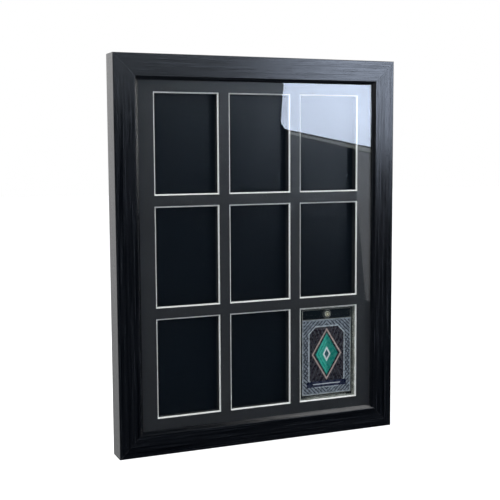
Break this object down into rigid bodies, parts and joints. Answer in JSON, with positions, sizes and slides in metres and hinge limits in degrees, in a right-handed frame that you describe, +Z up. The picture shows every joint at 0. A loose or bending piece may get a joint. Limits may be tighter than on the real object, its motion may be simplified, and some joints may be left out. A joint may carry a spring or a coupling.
{
  "type": "trading card display frame",
  "caption": "Black wooden display frame with a bevel-cut mount and a grid of pockets for cased trading cards behind a clear sheet.",
  "frame": {"origin": "centre of the moulding's bottom face, halfway through its depth", "axes": "+X to the viewer's right seen from the front, -Y out of the front, +Y to the wall, +Z up"},
  "size_m": [0.337, 0.0302, 0.434],
  "materials": {
    "black_wood": "black satin lacquer over wood grain",
    "nail_steel": "bright strip",
    "clear_sheet": "clear glazing sheet",
    "mount_paper": "black mount board facing",
    "mount_white": "white mount board core",
    "black_foam": "black foam sheet",
    "backing_board": "brown hardboard",
    "zinc_steel": "zinc plated",
    "screw_steel": "zinc plated",
    "bumper_rubber": "soft black pad",
    "clear_case": "clear moulded plastic",
    "magnet_metal": "plated magnet",
    "card_print": "printed card"
  },
  "bodies": {
    "frame": {"top_rail": "black_wood", "bottom_rail": "black_wood", "left_rail": "black_wood", "right_rail": "black_wood", "corner_nails": "nail_steel", "glazing": "clear_sheet", "mount_facing": "mount_paper", "mount_core": "mount_white", "pocket_insert": "black_foam", "pocket_floor": "black_foam", "backboard": "backing_board", "hanger_strap_left": "zinc_steel", "hanger_strap_right": "zinc_steel", "button_screws": "screw_steel", "hanger_screws": "screw_steel", "bumpers": "bumper_rubber", "case_front": "clear_case", "case_back": "clear_case", "case_magnet": "magnet_metal", "case_keeper": "magnet_metal", "card": "card_print"},
    "button_left_lower": {"button_left_lower": "zinc_steel"},
    "button_left_upper": {"button_left_upper": "zinc_steel"},
    "button_right_lower": {"button_right_lower": "zinc_steel"},
    "button_right_upper": {"button_right_upper": "zinc_steel"},
    "button_top": {"button_top": "zinc_steel"},
    "button_bottom": {"button_bottom": "zinc_steel"},
    "hanger_ring_left": {"hanger_ring_left": "zinc_steel"},
    "hanger_ring_right": {"hanger_ring_right": "zinc_steel"}
  },
  "joints": [
    {"name": "button_left_lower_turn", "type": "hinge", "parent": "frame", "child": "button_left_lower", "pos_m": [-0.1585, 0.0136, 0.132], "axis": [0, 1, 0], "continuous": true},
    {"name": "button_left_upper_turn", "type": "hinge", "parent": "frame", "child": "button_left_upper", "pos_m": [-0.1585, 0.0136, 0.302], "axis": [0, 1, 0], "continuous": true},
    {"name": "button_right_lower_turn", "type": "hinge", "parent": "frame", "child": "button_right_lower", "pos_m": [0.1585, 0.0136, 0.132], "axis": [0, 1, 0], "continuous": true},
    {"name": "button_right_upper_turn", "type": "hinge", "parent": "frame", "child": "button_right_upper", "pos_m": [0.1585, 0.0136, 0.302], "axis": [0, 1, 0], "continuous": true},
    {"name": "button_top_turn", "type": "hinge", "parent": "frame", "child": "button_top", "pos_m": [0, 0.0136, 0.424], "axis": [0, 1, 0], "continuous": true},
    {"name": "button_bottom_turn", "type": "hinge", "parent": "frame", "child": "button_bottom", "pos_m": [0, 0.0136, 0.01], "axis": [0, 1, 0], "range_deg": [-90, 90]},
    {"name": "ring_left_swing", "type": "hinge", "parent": "frame", "child": "hanger_ring_left", "pos_m": [-0.1506, 0.0151, 0.362], "axis": [0, 0, 1], "range_deg": [0, 155]},
    {"name": "ring_right_swing", "type": "hinge", "parent": "frame", "child": "hanger_ring_right", "pos_m": [0.1506, 0.0151, 0.362], "axis": [0, 0, -1], "range_deg": [0, 155]}
  ]
}
